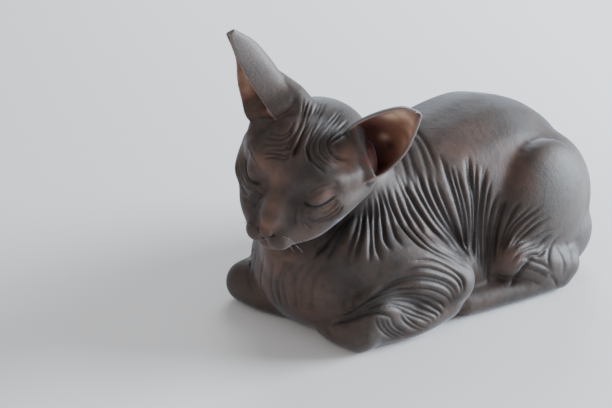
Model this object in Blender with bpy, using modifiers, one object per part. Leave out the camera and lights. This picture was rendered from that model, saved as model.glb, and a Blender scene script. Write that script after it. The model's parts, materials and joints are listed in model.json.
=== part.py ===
"""A juvenile sphynx cat lying in a loaf, its forepaws tucked under and its eyes closed.

The cat faces -Y, with its left side towards +X and its belly on the floor at z = 0. One body is
modelled whole, from primitives and bevelled curves that a voxel remesh fuses and smoothing blends.
It is then parted with thin cuts into the nodes that a person would name.
"""

import math

import bmesh
import bpy
import numpy as np
from mathutils import Euler, Matrix, Vector
from mathutils.bvhtree import BVHTree

MM = 0.001
GAP = 0.3 * MM
CLEAN = 0.002 * MM
CUT_ROUNDS = 4

# Driving dimensions of the lying cat, in millimetres
BACK_HEIGHT = 111.0
TORSO_RADIUS = 51.0
HEAD_WIDTH = 73.0
EAR_THICKNESS = 2.2
EYE_RADIUS = 8.8
LID_THICKNESS = 1.5
TAIL_ROOT_RADIUS = 7.5
TAIL_TIP_RADIUS = 2.4

# How the head is carried: turned to the cat's left, bowed, and leaning to the left
HEAD_PLACE = (6.0, -77.0, 105.0)
HEAD_TURN = math.radians(25.5)
HEAD_BOW = math.radians(14.0)
HEAD_LEAN = math.radians(14.5)

# Places in the head's own frame, for the left side: +X is left, -Y is forward
EYE_PLACE = (16.3, -25.0, -1.0)
EYE_SLIT = [(11.3, -36.5, 0), (15.5, -37, -0.6), (20.5, -35.5, -0.2), (24.5, -33, 1.6), (28.2, -27.5, 4.6)]
MOUTH_LINE = [(0, -50, -24.5), (4, -49, -27), (9, -44, -28.5), (14, -37, -27), (18, -29, -23.5)]
PHILTRUM = [(0, -52, -20), (0, -51, -22.5), (0, -50, -24.5)]
NOSTRIL = [(2.6, -54, -18, 0.9), (3.8, -52, -18, 0.9), (5, -49.5, -16.6, 0.6)]
LINE_RADIUS = 0.6
# Soft swellings and hollows of the face: where, how wide, and how far out or in
FACE_SHAPING = [
    (0, -34, 2, 6, -0.8),
    (0, -43, -9, 4.5, 0.2),
    (6.5, -40, -8, 4, -0.5),
    (8.5, -37, 0, 5.5, -1.4),
    (15, -30, 14, 7, 2.0),
    (24, -26, 12, 6, 1.2),
    (15, -33, 8.5, 4.5, -1.4),
    (25, -28, 8, 4, -1.5),
    (18, -36, 3.6, 4.6, 1.9),
    (18, -36, -4.5, 4.2, 1.4),
    (16, -35, -10.5, 4.5, -2.0),
    (27, -25, -7, 6, 1.4),
    (29, -14, 8, 8, -1.6),
    (13, -39, -16, 5, -1.2),
    (7, -48, -22, 5, 0.9),
    (5.5, -49, -13, 2.6, -0.5),
]
# Each ear has an inner edge, an outer edge, the way its back bulges, and the line of its root
EAR_LEFT = (
    [
        (15.1, 3, 17.8), (20.4, -6.6, 31.8), (26.9, -6.2, 40.3),
        (36.5, -7.1, 50.2), (45.5, -8.1, 57.3), (53.1, -6.7, 57.4),
    ],
    [
        (28.1, -2.7, -6.3), (35.6, -10.2, 4.7), (43.3, -1.7, 10.5),
        (49.2, 2.7, 22.4), (52.6, 0.1, 39.4), (55.1, -5.6, 55.4),
    ],
    (-0.2, 0.89, -0.41),
    [(21, 1, 18, 6), (26.3, -0.5, 14.7, 8), (32.3, -3.4, 3.6, 7)],
)
EAR_RIGHT = (
    [
        (16.1, 3.3, 10.2), (20.3, -8.7, 21.4), (28.7, -9.1, 29.2),
        (38.5, -10.9, 42.4), (45.7, -12.6, 55.5), (49.6, -12.6, 65.3),
    ],
    [
        (27.7, -5.3, 4.4), (34.2, -13.5, 17.6), (41.5, -5.8, 20.6),
        (47.1, -2, 29.6), (48.2, -4.8, 45.7), (51.7, -11.8, 63.8),
    ],
    (-0.47, 0.73, 0.48),
    [(19, 1, 12, 6), (24.8, -2.1, 9.3, 7), (28.7, -5.4, 3.4, 6)],
)
EAR_DEPTHS = (22, 22, 20, 17.5, 12, 3.5)
EAR_ROWS = 28
EAR_COLUMNS = 21
EAR_FLOOR = 0.34

SKIN_COLOUR = (0.17, 0.14, 0.135)
EYE_COLOUR = (0.30, 0.33, 0.16)

BODY_TRIANGLES = 7300
TUBE_TRIANGLES = 500
GROOVE_TRIANGLES = 110
EYE_SEGMENTS = 16
TRUNK_VOXEL = 2.5 * MM
LIMB_VOXEL = 1.8 * MM
DETAIL_VOXEL = 1.1 * MM
GROOVE_VOXEL = 0.35 * MM


def clear_scene():
    for obj in list(bpy.data.objects):
        bpy.data.objects.remove(obj, do_unlink=True)


def new_collection(name, shown=True):
    found = bpy.data.collections.new(name)
    bpy.context.scene.collection.children.link(found)
    found.hide_render = not shown
    return found


def head_matrix():
    turn = Matrix.Rotation(HEAD_TURN, 4, "Z")
    bow = Matrix.Rotation(HEAD_BOW, 4, "X")
    lean = Matrix.Rotation(HEAD_LEAN, 4, "Y")
    return Matrix.Translation(Vector(HEAD_PLACE) * MM) @ turn @ bow @ lean


def object_of(name, mesh, collection):
    obj = bpy.data.objects.new(name, mesh)
    collection.objects.link(obj)
    return obj


def ellipsoid(centre, radii, turn=(0, 0, 0), frame=None, segments=32):
    """A closed ellipsoid. centre and radii are in millimetres and turn is in degrees."""
    shape = bmesh.new()
    bmesh.ops.create_uvsphere(shape, u_segments=segments, v_segments=segments * 2 // 3, radius=1.0)
    place = Matrix.Translation(Vector(centre) * MM)
    place @= Euler([math.radians(t) for t in turn]).to_matrix().to_4x4()
    place @= Matrix.Diagonal([*[r * MM for r in radii], 1.0])
    shape.transform(frame @ place if frame else place)
    mesh = bpy.data.meshes.new("form")
    shape.to_mesh(mesh)
    shape.free()
    return mesh


def limb(stations, frame=None):
    """A tapered tube with round ends through stations of (x, y, z, radius), in millimetres."""
    curve = bpy.data.curves.new("limb", "CURVE")
    curve.dimensions = "3D"
    curve.resolution_u = 6
    curve.bevel_depth = MM
    curve.bevel_resolution = 6
    curve.use_fill_caps = True
    spline = curve.splines.new("BEZIER")
    spline.bezier_points.add(len(stations) - 1)
    for point, (x, y, z, radius) in zip(spline.bezier_points, stations):
        point.co = Vector((x, y, z)) * MM
        point.radius = radius
        point.handle_left_type = point.handle_right_type = "AUTO"
    helper = bpy.data.objects.new("limb", curve)
    bpy.context.scene.collection.objects.link(helper)
    graph = bpy.context.evaluated_depsgraph_get()
    mesh = bpy.data.meshes.new_from_object(helper.evaluated_get(graph))
    bpy.data.objects.remove(helper)
    shape = bmesh.new()
    shape.from_mesh(mesh)
    bmesh.ops.remove_doubles(shape, verts=shape.verts, dist=0.01 * MM)
    shape.to_mesh(mesh)
    shape.free()
    if frame:
        mesh.transform(frame)
    ends = [ellipsoid(s[:3], (s[3],) * 3, frame=frame) for s in (stations[0], stations[-1])]
    return [mesh, *ends]


def mirrored(centre, radii, turn=(0, 0, 0), frame=None):
    """The ellipsoid and its mirror image on the other side of x = 0 of its frame."""
    x, y, z = centre
    a, b, c = turn
    return [
        ellipsoid(centre, radii, turn, frame),
        ellipsoid((-x, y, z), radii, (a, -b, -c), frame),
    ]


def fused(name, meshes, voxel, rounds, collection):
    """One closed body from closed meshes that overlap: a voxel remesh, then rounds of smoothing."""
    shape = bmesh.new()
    for mesh in meshes:
        shape.from_mesh(mesh)
    joined = bpy.data.meshes.new(name)
    shape.to_mesh(joined)
    shape.free()
    obj = object_of(name, joined, collection)
    remesh = obj.modifiers.new("Remesh", "REMESH")
    remesh.mode = "VOXEL"
    remesh.voxel_size = voxel
    if rounds:
        smooth = obj.modifiers.new("Smooth", "SMOOTH")
        smooth.factor = 0.5
        smooth.iterations = rounds
    return settled(obj)


def settled(obj):
    """Applies the object's modifiers and returns it."""
    graph = bpy.context.evaluated_depsgraph_get()
    mesh = bpy.data.meshes.new_from_object(obj.evaluated_get(graph))
    obj.modifiers.clear()
    obj.data = mesh
    return obj


def trunk_forms():
    top = BACK_HEIGHT
    wide = TORSO_RADIUS
    spine = [
        (0, -76, 46, 26),
        (0, -52, 51, 36),
        (0, -20, 53, 45),
        (0, 18, 57, 50),
        (0, 50, top - wide - 1, wide + 1),
        (0, 76, 54, 45),
        (0, 92, 42, 36),
    ]
    forms = limb(spine)
    forms += [ellipsoid((-4, -73, 32), (42, 25, 33)), ellipsoid((0, 18, 27), (54, 68, 32))]
    forms += mirrored((22, -38, 68), (15, 26, 22))
    forms += mirrored((28, 75, 45), (32, 42, 45)) + mirrored((31, 81, 25), (28, 36, 27))
    forms += limb([(0, -38, 64, 31), (2, -50, 80, 28), (4, -58, 96, 25)])
    return forms


def foreleg_forms(side, forward):
    s, f = side, forward
    forms = limb([(s * 28, -62, 50, 21), (s * 42, -38, 40, 21), (s * 50, -15, 28, 16)])
    forms += [ellipsoid((s * 38, -44, 24), (17, 36, 24), (0, 0, s * 20))]
    forms += limb([(s * 50, -18, 16, 12), (s * 48, -38, 13, 13), (s * 41, -68 - f, 13, 13)])
    forms += limb([(s * 42, -71 - f, 12, 13), (s * 29, -76 - 0.7 * f, 11, 11), (s * 13, -74 - 0.5 * f, 9, 9)])
    return forms


def hindleg_forms(side):
    s = side
    forms = [
        ellipsoid((s * 46, 60, 46), (20, 38, 46), (-8, 0, 0)),
        ellipsoid((s * 45, 79, 26), (17, 30, 24)),
    ]
    forms += limb([(s * 52, 32, 32, 14), (s * 56, 52, 22, 15), (s * 58, 70, 16, 13)])
    forms += limb([(s * 60, 68, 9, 9), (s * 56, 34, 8, 8), (s * 50, 0, 8, 8)])
    return forms


def head_forms():
    frame = head_matrix()
    half = HEAD_WIDTH / 2
    forms = [
        ellipsoid((0, 7, 0), (30, 31.5, 25), frame=frame),
        ellipsoid((0, -10, 9), (25, 26, 18), frame=frame),
        ellipsoid((0, -20, -12), (19, 25, 15), frame=frame),
    ]
    forms += mirrored((half - 14, -10, -3), (12, 16, 10), (0, 0, 12), frame)
    for side in (1, -1):
        cheekbone = [(side * 13, -33, -9, 8), (side * 25, -21, -5, 9), (side * 32, -4, -2, 7)]
        brow = [(side * 7, -29, 7, 8), (side * 19, -25, 8, 7), (side * 28, -14, 8, 7)]
        muzzle = [(side * 6.5, -42, -20, 8), (side * 16, -31, -17.5, 9), (side * 23, -18, -11, 9)]
        jaw = [(0, -37, -26, 7), (side * 9, -26, -22.5, 8), (side * 15, -13, -13, 8)]
        for line in (cheekbone, brow, jaw, muzzle):
            forms += limb(line, frame=frame)
    forms += mirrored(EYE_PLACE, (EYE_RADIUS + LID_THICKNESS,) * 3, frame=frame)
    forms += [
        ellipsoid((23, -3, 13), (9, 10, 13), frame=frame),
        ellipsoid((28, -6, 4), (8, 10, 12), frame=frame),
        ellipsoid((-27, -5, 9), (9, 12.5, 12), frame=frame),
        *limb([(-10, 6, 19, 9), (-19, 7, 27, 8), (-28, 6, 38, 3)], frame),
    ]
    forms += limb([(0, -22, 5, 11.5), (0, -35, -3, 9.3), (0, -45.5, -12.7, 6.4)], frame=frame)
    return forms


def head_details():
    frame = head_matrix()
    forms = [
        ellipsoid((0, -40, -28.5), (8.5, 8.0, 6), frame=frame),
        ellipsoid((0, -49.8, -17), (4.3, 3.4, 3.0), (-20, 0, 0), frame),
    ]
    forms += mirrored((6.4, -43.6, -21.5), (7.2, 8.6, 6.6), (0, 0, -14), frame)
    return forms


def shaped(obj):
    """Raises and hollows the face of the object softly, on both sides."""
    mesh, frame = obj.data, head_matrix()
    places = np.empty(3 * len(mesh.vertices))
    normals = places.copy()
    mesh.vertices.foreach_get("co", places)
    mesh.vertices.foreach_get("normal", normals)
    places, normals = places.reshape(-1, 3), normals.reshape(-1, 3)
    push = np.zeros(len(places))
    for x, y, z, wide, out in FACE_SHAPING:
        for side in (1, -1) if x else (1,):
            centre = np.array(frame @ (Vector((side * x, y, z)) * MM))
            gap = ((places - centre) ** 2).sum(1) / (wide * MM) ** 2
            push += out * MM * np.exp(-gap)
    mesh.vertices.foreach_set("co", (places + normals * push[:, None]).ravel())
    mesh.update()
    return obj


def along_line(points, share):
    """The place at this share of a smooth line through the points, each a Vector."""
    place = share * (len(points) - 1)
    i = min(int(place), len(points) - 2)
    t = place - i
    before = points[max(i - 1, 0)]
    after = points[min(i + 2, len(points) - 1)]
    a, b = points[i], points[i + 1]
    slope_a, slope_b = (b - before) * 0.5, (after - a) * 0.5
    return (
        a * (2 * t**3 - 3 * t**2 + 1)
        + slope_a * (t**3 - 2 * t**2 + t)
        + b * (3 * t**2 - 2 * t**3)
        + slope_b * (t**3 - t**2)
    )


def ear_rows(side, inner, outer, back):
    """Rows of points across an ear that is cupped between its inner and its outer edge."""
    inner = [Vector(p) for p in inner]
    outer = [Vector(p) for p in outer]
    depths = [Vector((d, 0, 0)) for d in EAR_DEPTHS]
    back = Vector(back).normalized()
    rows = []
    for i in range(EAR_ROWS):
        along = i / (EAR_ROWS - 1)
        a, b = along_line(inner, along), along_line(outer, along)
        depth = along_line(depths, along).x
        row = []
        for j in range(EAR_COLUMNS):
            angle = math.pi * j / (EAR_COLUMNS - 1)
            wide = -math.cos(angle) * (1 + 0.05 * math.sin(angle))
            point = (a + b) / 2 + (b - a) / 2 * wide
            point += back * (depth * math.sin(angle) ** 0.8)
            row.append(Vector((side * point.x, point.y, point.z)) * MM)
        rows.append(row)
    return rows


def sheet_of(rows):
    shape = bmesh.new()
    grid = [[shape.verts.new(point) for point in row] for row in rows]
    for upper, lower in zip(grid, grid[1:]):
        for j in range(len(upper) - 1):
            shape.faces.new((upper[j], upper[j + 1], lower[j + 1], lower[j]))
    return shape, grid


def ear_forms(side, inner, outer, back, root, name, collection):
    """An ear: a thin cupped sheet, with a solid root that fills the bottom of its cup."""
    rows = ear_rows(side, inner, outer, back)
    shape, grid = sheet_of(rows)
    bmesh.ops.recalc_face_normals(shape, faces=shape.faces)
    shape.transform(head_matrix())
    mesh = bpy.data.meshes.new(name)
    shape.to_mesh(mesh)
    shape.free()
    obj = object_of(name, mesh, collection)
    thick = obj.modifiers.new("Solidify", "SOLIDIFY")
    thick.thickness = EAR_THICKNESS * MM
    thick.offset = 0
    sheet = settled(obj).data
    shape, grid = sheet_of(rows[: int(EAR_ROWS * EAR_FLOOR)])
    for upper, lower in zip(grid, grid[1:]):
        shape.faces.new((upper[-1], upper[0], lower[0], lower[-1]))
    shape.faces.new(grid[0])
    shape.faces.new(grid[-1])
    bmesh.ops.recalc_face_normals(shape, faces=shape.faces)
    shape.transform(head_matrix())
    plug = bpy.data.meshes.new(name + "_root")
    shape.to_mesh(plug)
    shape.free()
    base = limb([(side * x, y, z, r) for x, y, z, r in root], frame=head_matrix())
    return [sheet, plug, *base]


def tail_stations():
    """The tail, from the rump to the floor and forward along the right side."""
    return [
        (-4, 106, 34, TAIL_ROOT_RADIUS + 1.5),
        (-20, 117, 17, TAIL_ROOT_RADIUS),
        (-42, 118, 7.5, 7),
        (-62, 102, 6.2, 6.6),
        (-75, 80, 5.8, 6.1),
        (-81, 54, 5.3, 5.6),
        (-81, 26, 4.8, 5.1),
        (-76, 0, 4.2, 4.5),
        (-67, -22, 3.4, 3.7),
        (-59, -36, 2.2, TAIL_TIP_RADIUS),
    ]


def box(low, high):
    """A closed box between two corners, in millimetres."""
    shape = bmesh.new()
    bmesh.ops.create_cube(shape, size=1.0)
    low, high = Vector(low) * MM, Vector(high) * MM
    place = Matrix.Translation((low + high) / 2) @ Matrix.Diagonal([*(high - low), 1.0])
    shape.transform(place)
    mesh = bpy.data.meshes.new("box")
    shape.to_mesh(mesh)
    shape.free()
    return mesh


def volume_of(mesh):
    shape = bmesh.new()
    shape.from_mesh(mesh)
    volume = shape.calc_volume(signed=True)
    shape.free()
    return volume


def cleaned(mesh):
    """The mesh as clean triangles. Tiny edges are merged where that leaves it closed."""
    for size in (3 * CLEAN, CLEAN, 0.0):
        shape = bmesh.new()
        shape.from_mesh(mesh)
        bmesh.ops.triangulate(shape, faces=shape.faces)
        if size:
            bmesh.ops.remove_doubles(shape, verts=shape.verts, dist=size)
            bmesh.ops.dissolve_degenerate(shape, edges=shape.edges, dist=size)
            bmesh.ops.triangulate(shape, faces=shape.faces)
        if size == 0.0 or is_manifold(shape):
            break
        shape.free()
    return shape


def is_manifold(shape):
    return len(shape.faces) > 0 and all(edge.is_manifold for edge in shape.edges)


def is_closed(mesh):
    shape = cleaned(mesh)
    closed = is_manifold(shape)
    shape.free()
    return closed


def boolean(mesh, cutter, operation, solver, helpers):
    """The mesh that one Boolean leaves of a mesh and its cutter."""
    obj = object_of("solid", mesh, helpers)
    tool = object_of("cutter", cutter, helpers)
    tool.display_type = "WIRE"
    cut = obj.modifiers.new("Boolean", "BOOLEAN")
    cut.operation = operation
    cut.solver = solver
    cut.object = tool
    bpy.context.view_layer.update()
    result = settled(obj).data
    bpy.data.objects.remove(obj)
    bpy.data.objects.remove(tool)
    return result


def inside_and_outside(mesh, inside, grown, helpers):
    """What lies in a cutter, and what is left outside the cutter grown by the gap."""
    whole = volume_of(mesh)
    for solver in ("EXACT", "MANIFOLD"):
        within = boolean(mesh, inside, "INTERSECT", solver, helpers)
        without = boolean(mesh, grown, "DIFFERENCE", solver, helpers)
        lost = whole - volume_of(within) - volume_of(without)
        if is_closed(within) and is_closed(without) and 0 <= lost < 0.02 * whole:
            break
    return within, without


def subtracted(obj, cutter, helpers):
    """Cuts the cutter out of the object. A cut that fails is tried again a hair's breadth aside."""
    before = volume_of(obj.data)
    for solver in ("EXACT", "MANIFOLD") * CUT_ROUNDS:
        result = boolean(obj.data, cutter, "DIFFERENCE", solver, helpers)
        if is_closed(result) and before - volume_of(result) > MM**3:
            obj.data = result
            break
        cutter.transform(Matrix.Translation(Vector((1, 1, 1)) * CLEAN))
    return obj


def islands_of(shape):
    """The connected groups of faces in a mesh."""
    left = set(shape.faces)
    found = []
    while left:
        group = []
        reach = [left.pop()]
        while reach:
            face = reach.pop()
            group.append(face)
            for edge in face.edges:
                for other in edge.link_faces:
                    if other in left:
                        left.remove(other)
                        reach.append(other)
        found.append(group)
    return found


def largest_body(obj):
    """Leaves only the largest closed body of the object, as triangles."""
    shape = cleaned(obj.data)
    groups = sorted(islands_of(shape), key=len)
    for group in groups[:-1]:
        bmesh.ops.delete(shape, geom=group, context="FACES")
    loose = [v for v in shape.verts if not v.link_faces]
    bmesh.ops.delete(shape, geom=loose, context="VERTS")
    shape.to_mesh(obj.data)
    shape.free()
    return obj


def thinned(obj, triangles):
    """Reduces the object to about so many triangles, most of them where it curves."""
    shape = bmesh.new()
    shape.from_mesh(obj.data)
    bmesh.ops.triangulate(shape, faces=shape.faces)
    shape.to_mesh(obj.data)
    shape.free()
    thin = obj.modifiers.new("Decimate", "DECIMATE")
    thin.ratio = min(1.0, triangles / len(obj.data.polygons))
    return settled(obj)


def tail_region(helpers):
    """A tube around the tail, for the cut at its root, and the same tube grown by the gap."""
    stations = [(x, y, z, r + 4) for x, y, z, r in tail_stations()[1:]]
    tube = thinned(fused("tail_region", limb(stations), TRUNK_VOXEL, 0, helpers), TUBE_TRIANGLES).data
    grown = tube.copy()
    for vertex, place in zip(grown.vertices, tube.vertices):
        vertex.co = place.co + place.normal * (1.3 * GAP)
    return [tube, grown]


def region(centre, radii, turn=(0, 0, 0), in_head=False):
    """Where a node ends: an ellipsoid, and the same ellipsoid grown by the gap."""
    frame = head_matrix() if in_head else None
    grown = tuple(r + GAP / MM for r in radii)
    return [ellipsoid(centre, size, turn, frame, segments=16) for size in (radii, grown)]


def ear_region(side):
    """A box around an ear, its lower face across the root of the ear."""
    half = 36.0
    turn = Matrix.Rotation(math.radians(side * 45), 4, "Y")
    root = Vector((side * 29, -1, 19)) * MM
    found = []
    for grown in (0.0, GAP / MM):
        low = (-half - grown, -half - grown, -grown)
        mesh = box(low, (half + grown, half + grown, 2 * half + grown))
        mesh.transform(head_matrix() @ Matrix.Translation(root) @ turn)
        found.append(mesh)
    return found


def regions(helpers):
    """The nodes in the order in which they are cut from the body."""
    found = [
        ("ear_left", ear_region(1)),
        ("ear_right", ear_region(-1)),
        ("head", region((0, -4, -2), (48, 50, 42), (0, 0, 0), True)),
        ("tail", tail_region(helpers)),
    ]
    for side, name, f in ((1, "left", 0), (-1, "right", 16)):
        s = side
        found += [
            ("hindfoot_" + name, region((s * 57, 26, 6), (17, 42, 14))),
            ("hindleg_" + name, region((s * 56, 60, 42), (27, 46, 56))),
            ("forepaw_" + name, region((s * 22, -78 - f, 6), (24, 22, 20))),
            ("foreleg_" + name, region((s * 50, -36, 26), (26, 68, 38), (0, 0, s * 8))),
        ]
    found.append(("neck", region((2, -64, 86), (44, 40, 32))))
    return found


def surface_of(obj):
    shape = bmesh.new()
    shape.from_mesh(obj.data)
    found = BVHTree.FromBMesh(shape)
    shape.free()
    return found


def groove(obj, points, radius, sink, helpers):
    """Cuts a round groove along points of the head's frame, moved to the nearest skin and sunk."""
    tree = surface_of(obj)
    frame = head_matrix()
    stations = []
    for point in points:
        size = point[3] if len(point) > 3 else radius
        place, normal, _, _ = tree.find_nearest(frame @ (Vector(point[:3]) * MM))
        place = (place - normal * sink * MM) / MM
        stations.append((*place, size))
    tube, *ends = limb(stations)
    cutter = fused("groove", [tube, *ends], GROOVE_VOXEL, 1, helpers)
    thinned(cutter, GROOVE_TRIANGLES)
    return subtracted(obj, cutter.data, helpers)


def eye_and_socket(side, head, helpers, cat):
    """An eyeball as a node, and the socket that it leaves in the head."""
    x, y, z = EYE_PLACE
    frame = head_matrix()
    centre = (side * x, y, z)
    around = EYE_RADIUS + 1.5 * GAP / MM
    socket = ellipsoid(centre, (around,) * 3, frame=frame, segments=EYE_SEGMENTS)
    subtracted(head, socket, helpers)
    name = "eye_left" if side > 0 else "eye_right"
    eyeball = ellipsoid(centre, (EYE_RADIUS,) * 3, frame=frame, segments=EYE_SEGMENTS)
    return object_of(name, eyeball, cat)


def lid_slits(head, helpers):
    """The slit between the lids of each eye, first at the skin and then through to the socket."""
    for side in (1, -1):
        slit = [(side * x, y, z) for x, y, z in EYE_SLIT]
        groove(head, slit, LINE_RADIUS, 0.3, helpers)
        groove(head, slit, LINE_RADIUS * 1.5, LID_THICKNESS + 0.2, helpers)


def face_lines(head, helpers):
    """The mouth line, the cleft under the nose and the nostrils."""
    groove(head, PHILTRUM, LINE_RADIUS, 0.2, helpers)
    for side in (1, -1):
        groove(head, [(side * x, y, z) for x, y, z in MOUTH_LINE], LINE_RADIUS, 0.2, helpers)
        groove(head, [(side * x, y, z, r) for x, y, z, r in NOSTRIL], 1.0, 0.1, helpers)


def painted(obj, colour, rough):
    material = bpy.data.materials.new(obj.name + "_colour")
    material.use_nodes = True
    shader = material.node_tree.nodes["Principled BSDF"]
    shader.inputs["Base Color"].default_value = (*colour, 1.0)
    shader.inputs["Roughness"].default_value = rough
    obj.data.materials.clear()
    obj.data.materials.append(material)


def parted(whole, helpers, cat):
    """The body's nodes, each cut from what is left of the body."""
    nodes = []
    left = whole.data
    for name, (inside, grown) in regions(helpers):
        within, left = inside_and_outside(left, inside, grown, helpers)
        nodes.append(largest_body(object_of(name, within, cat)))
    nodes.append(largest_body(object_of("torso", left, cat)))
    bpy.data.objects.remove(whole)
    return nodes


def main():
    clear_scene()
    helpers = new_collection("helpers", shown=False)
    cat = new_collection("sphynx_cat")
    trunk = fused("trunk", trunk_forms(), TRUNK_VOXEL, 20, helpers)
    head = fused("head_form", head_forms(), DETAIL_VOXEL, 12, helpers)
    limbs = [trunk.data, head.data, *limb(tail_stations())]
    limbs += foreleg_forms(1, 0) + foreleg_forms(-1, 16)
    limbs += hindleg_forms(1) + hindleg_forms(-1)
    body = fused("body", limbs, LIMB_VOXEL, 8, helpers)
    ears = ear_forms(1, *EAR_LEFT, "ear_left_sheet", helpers)
    ears += ear_forms(-1, *EAR_RIGHT, "ear_right_sheet", helpers)
    details = [body.data, *head_details(), *ears]
    whole = shaped(fused("whole", details, DETAIL_VOXEL, 3, helpers))
    subtracted(whole, box((-200, -300, -30), (200, 300, 0)), helpers)
    thinned(largest_body(whole), BODY_TRIANGLES)
    nodes = parted(whole, helpers, cat)
    head = next(node for node in nodes if node.name == "head")
    eyes = [eye_and_socket(side, head, helpers, cat) for side in (1, -1)]
    lid_slits(head, helpers)
    face_lines(head, helpers)
    largest_body(head)
    for obj in list(helpers.objects):
        bpy.data.objects.remove(obj)
    for node in nodes:
        painted(node, SKIN_COLOUR, 0.55)
    for eye in eyes:
        painted(eye, EYE_COLOUR, 0.1)


main()
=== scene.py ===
"""The looks of the lying sphynx cat: one skin with its folds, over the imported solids.

The forms of the body are those of the part's source, fused again at a finer size. Folds are then
pressed into the skin along lines, most of which are named by pixels of the photograph's frame and
found on the skin by a ray from the camera. The hidden side gets them mirrored.
"""

import json
import math
import random

import bmesh
import bpy
import numpy as np
from mathutils import Euler, Matrix, Vector
from mathutils.bvhtree import BVHTree

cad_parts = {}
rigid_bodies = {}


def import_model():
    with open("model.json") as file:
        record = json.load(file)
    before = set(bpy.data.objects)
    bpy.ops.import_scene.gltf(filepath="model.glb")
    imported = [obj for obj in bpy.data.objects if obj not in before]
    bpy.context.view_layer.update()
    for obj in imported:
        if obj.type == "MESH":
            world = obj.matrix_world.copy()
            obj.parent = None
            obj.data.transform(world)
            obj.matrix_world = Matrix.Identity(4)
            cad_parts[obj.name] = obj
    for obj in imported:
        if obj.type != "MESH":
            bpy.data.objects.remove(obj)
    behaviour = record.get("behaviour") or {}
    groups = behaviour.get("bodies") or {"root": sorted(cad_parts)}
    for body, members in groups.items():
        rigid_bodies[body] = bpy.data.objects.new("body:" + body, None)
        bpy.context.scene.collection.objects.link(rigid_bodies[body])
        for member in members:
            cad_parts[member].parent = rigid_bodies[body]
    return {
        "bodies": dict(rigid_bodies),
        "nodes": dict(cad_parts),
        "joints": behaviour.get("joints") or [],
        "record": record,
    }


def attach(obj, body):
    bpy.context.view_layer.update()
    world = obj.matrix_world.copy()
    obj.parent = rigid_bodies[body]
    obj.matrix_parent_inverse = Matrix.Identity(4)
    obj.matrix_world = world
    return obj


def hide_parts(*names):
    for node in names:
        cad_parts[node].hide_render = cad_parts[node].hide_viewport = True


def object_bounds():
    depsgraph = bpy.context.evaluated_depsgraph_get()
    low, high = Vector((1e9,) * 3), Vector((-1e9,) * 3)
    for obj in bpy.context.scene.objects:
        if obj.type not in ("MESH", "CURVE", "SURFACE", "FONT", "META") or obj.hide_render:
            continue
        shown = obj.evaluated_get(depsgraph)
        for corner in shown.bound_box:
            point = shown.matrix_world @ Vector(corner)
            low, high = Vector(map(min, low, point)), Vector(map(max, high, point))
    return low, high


MM = 0.001

# Driving dimensions of the lying cat, in millimetres
BACK_HEIGHT = 111.0
TORSO_RADIUS = 51.0
HEAD_WIDTH = 73.0
EAR_THICKNESS = 1.5
EYE_RADIUS = 8.8
LID_THICKNESS = 1.5
TAIL_ROOT_RADIUS = 7.5
TAIL_TIP_RADIUS = 2.4

# How the head is carried: turned to the cat's left, bowed, and leaning to the left
HEAD_PLACE = (6.0, -77.0, 105.0)
HEAD_TURN = math.radians(25.5)
HEAD_BOW = math.radians(14.0)
HEAD_LEAN = math.radians(14.5)

# Places in the head's own frame, for the left side: +X is left, -Y is forward
EYE_PLACE = (16.3, -25.0, -1.0)
EYE_SLIT = [(11.3, -36.5, 0), (15.5, -37, -0.6), (20.5, -35.5, -0.2), (24.5, -33, 1.6), (28.2, -27.5, 4.6)]
MOUTH_LINE = [(0, -50, -24.5), (4, -49, -27), (9, -44, -28.5), (14, -37, -27), (18, -29, -23.5)]
PHILTRUM = [(0, -52, -20), (0, -51, -22.5), (0, -50, -24.5)]
NOSTRIL = [(2.6, -54, -18), (3.8, -52, -18), (5, -49.5, -16.6)]
# The lines pressed into the face, each with its half width and its depth in millimetres
MIDDLE_LINE = (PHILTRUM, 0.6, 0.9)
SIDE_LINES = ((EYE_SLIT, 0.6, 1.4), (MOUTH_LINE, 0.6, 1.1), (NOSTRIL, 0.5, 1.2))
# Soft swellings and hollows of the face: where, how wide, and how far out or in
FACE_SHAPING = [
    (0, -34, 2, 6, -0.8), (0, -43, -9, 4.5, 0.2), (6.5, -40, -8, 4, -0.5), (8.5, -37, 0, 5.5, -1.4),
    (15, -30, 14, 7, 2.0), (24, -26, 12, 6, 1.2), (15, -33, 8.5, 4.5, -1.4), (25, -28, 8, 4, -1.5),
    (18, -36, 3.6, 4.6, 1.9), (18, -36, -4.5, 4.2, 1.4), (16, -35, -10.5, 4.5, -2.0),
    (27, -25, -7, 6, 1.4), (29, -14, 8, 8, -1.6), (13, -39, -16, 5, -1.2), (7, -48, -22, 5, 0.9),
    (5.5, -49, -13, 2.6, -0.5),
]
# Each ear has an inner edge, an outer edge, the way its back bulges, and the line of its root
EAR_LEFT = (
    [
        (15.1, 3, 17.8), (20.4, -6.6, 31.8), (26.9, -6.2, 40.3),
        (36.5, -7.1, 50.2), (45.5, -8.1, 57.3), (53.1, -6.7, 57.4),
    ],
    [
        (28.1, -2.7, -6.3), (35.6, -10.2, 4.7), (43.3, -1.7, 10.5),
        (49.2, 2.7, 22.4), (52.6, 0.1, 39.4), (55.1, -5.6, 55.4),
    ],
    (-0.2, 0.89, -0.41),
    [(21, 1, 18, 6), (26.3, -0.5, 14.7, 8), (32.3, -3.4, 3.6, 7)],
)
EAR_RIGHT = (
    [
        (16.1, 3.3, 10.2), (20.3, -8.7, 21.4), (28.7, -9.1, 29.2),
        (38.5, -10.9, 42.4), (45.7, -12.6, 55.5), (49.6, -12.6, 65.3),
    ],
    [
        (27.7, -5.3, 4.4), (34.2, -13.5, 17.6), (41.5, -5.8, 20.6),
        (47.1, -2, 29.6), (48.2, -4.8, 45.7), (51.7, -11.8, 63.8),
    ],
    (-0.47, 0.73, 0.48),
    [(19, 1, 12, 6), (24.8, -2.1, 9.3, 7), (28.7, -5.4, 3.4, 6)],
)
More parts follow.
